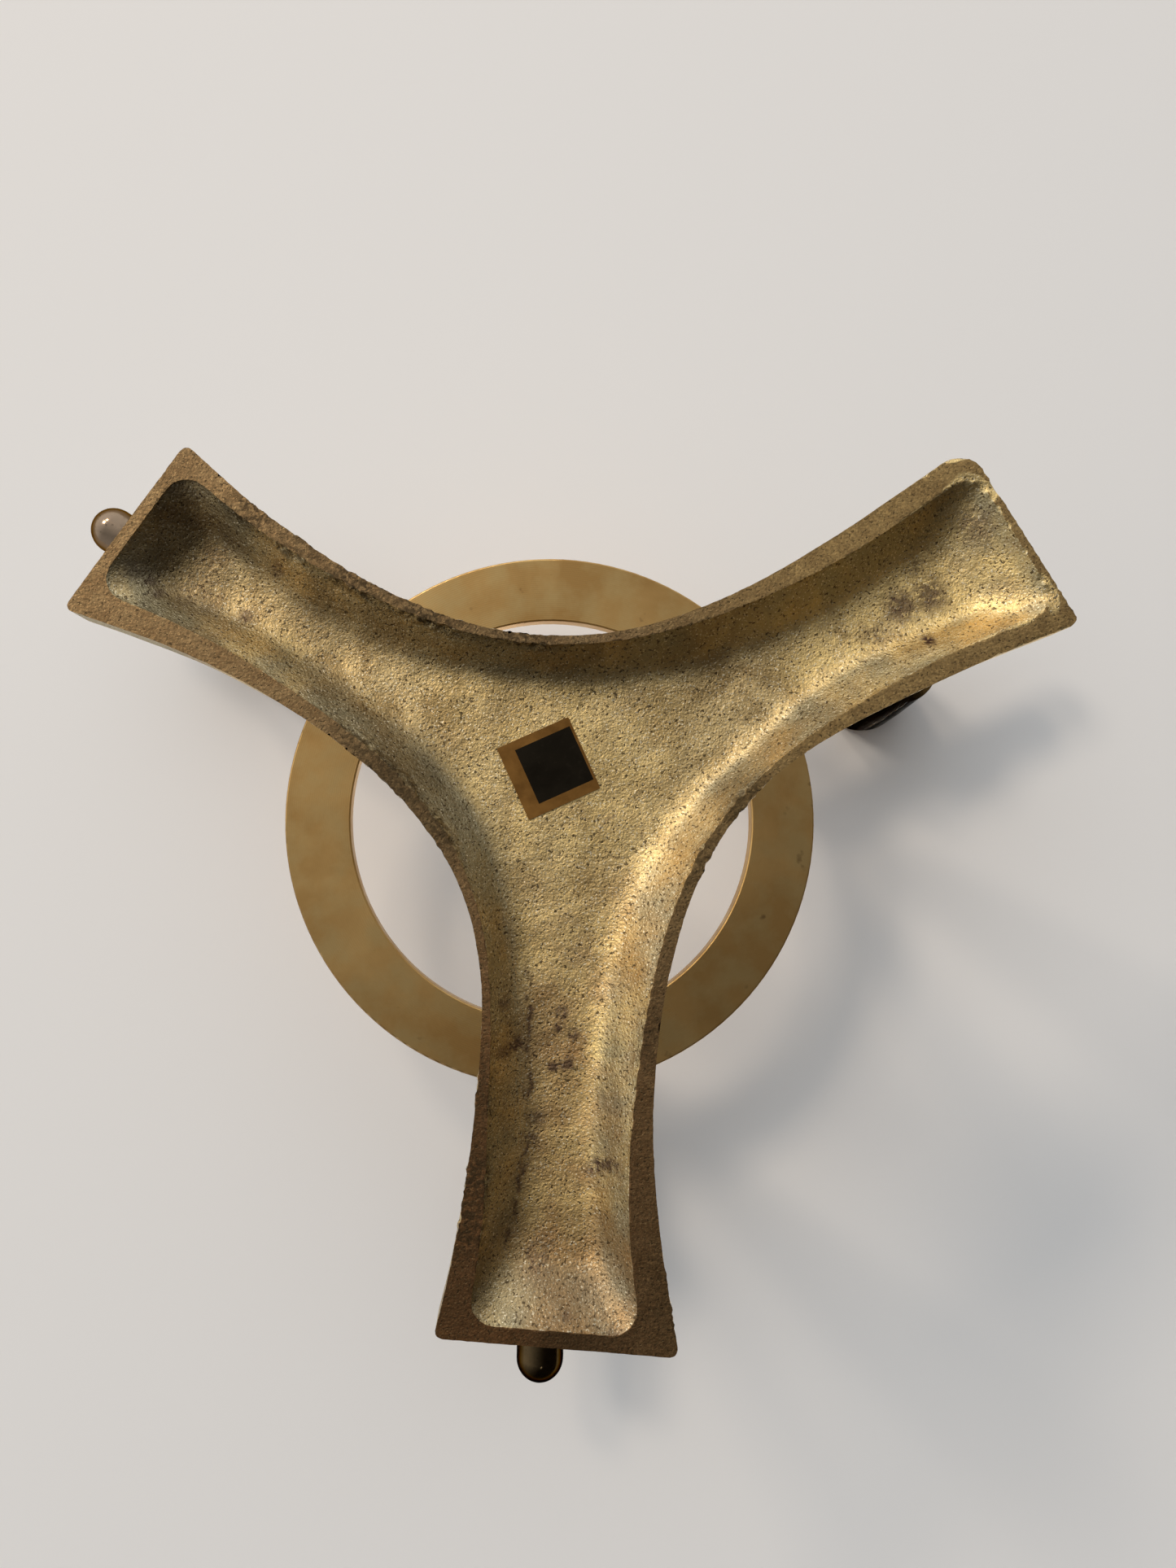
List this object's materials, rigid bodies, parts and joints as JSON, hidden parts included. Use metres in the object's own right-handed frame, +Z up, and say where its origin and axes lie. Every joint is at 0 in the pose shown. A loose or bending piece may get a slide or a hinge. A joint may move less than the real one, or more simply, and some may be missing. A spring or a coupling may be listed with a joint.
{
  "type": "tabletop candelabra",
  "caption": "Brass candelabra with a hollow Y-shaped cast foot, a flat ring on uprights, and radial round arms that pass through tapered candle cups.",
  "frame": {"origin": "on the ring's axis, in the plane of the ground rim that the base rests on", "axes": "+Z up along the ring's axis, through the upright candle cups; arm A points 33 degrees from +X towards +Y"},
  "size_m": [0.2685, 0.2393, 0.165],
  "materials": {
    "cast_brass": "sand cast, as-cast inside, tarnished, ground rim",
    "satin_brass": "satin, lightly tarnished",
    "polished_brass": "polished, darkened with age",
    "steel_fasteners": "plain turned steel",
    "foil_label": "blank printed foil, black panel on a gold border"
  },
  "bodies": {
    "root": {"arm_a": "polished_brass", "arm_b": "polished_brass", "arm_c": "polished_brass", "base": "cast_brass", "cup_a": "polished_brass", "cup_b": "polished_brass", "cup_c": "polished_brass", "cup_screw_a": "steel_fasteners", "cup_screw_b": "steel_fasteners", "cup_screw_c": "steel_fasteners", "foot_stud_a": "steel_fasteners", "foot_stud_b": "steel_fasteners", "foot_stud_c": "steel_fasteners", "label": "foil_label", "ring": "satin_brass", "ring_stud_a": "steel_fasteners", "ring_stud_b": "steel_fasteners", "ring_stud_c": "steel_fasteners", "upright_a": "polished_brass", "upright_b": "polished_brass", "upright_c": "polished_brass"}
  },
  "joints": []
}
